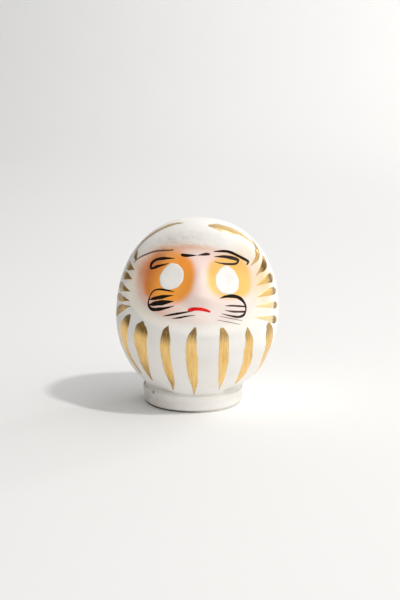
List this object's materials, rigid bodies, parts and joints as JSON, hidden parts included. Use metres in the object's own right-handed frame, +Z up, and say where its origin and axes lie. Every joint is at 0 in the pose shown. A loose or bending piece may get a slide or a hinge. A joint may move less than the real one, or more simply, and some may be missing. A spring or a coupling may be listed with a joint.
{
  "type": "daruma doll",
  "caption": "Round hollow papier-mache daruma doll on a weighted foot, with a recessed face under a hood ridge and raised gold and ink brush strokes.",
  "frame": {"origin": "centre of the foot's underside, on the surface it stands on", "axes": "+Z up, the face looks along -Y, +X is to the right of someone who looks at the face"},
  "size_m": [0.1033, 0.0908, 0.1189],
  "materials": {
    "white_paint": "matte white ground over papier-mache, with orange and pink airbrush on the face",
    "clay": "unfired clay",
    "glue": "dull chalk and glue",
    "band_white": "brushed matte white over paper",
    "paper": "plain paper",
    "gold": "satin gold paint with brush streaks",
    "ink": "black ink brush line",
    "red": "red paint",
    "eye_white": "matte white paint"
  },
  "bodies": {
    "root": {"paper_shell": "white_paint", "back_seam_strip": "white_paint", "clay_weight": "clay", "glue_bed": "glue", "base_band": "band_white", "base_paper_disc": "paper", "gold_hood_strokes": "gold", "gold_mane_strokes_left": "gold", "gold_mane_strokes_right": "gold", "gold_robe_strokes": "gold", "brow_lines_left": "ink", "brow_lines_right": "ink", "brow_centre_dots": "ink", "whiskers_left": "ink", "whiskers_right": "ink", "moustache_lines_left": "ink", "moustache_lines_right": "ink", "mouth_line": "red", "eye_white_left": "eye_white", "eye_white_right": "eye_white"}
  },
  "joints": []
}
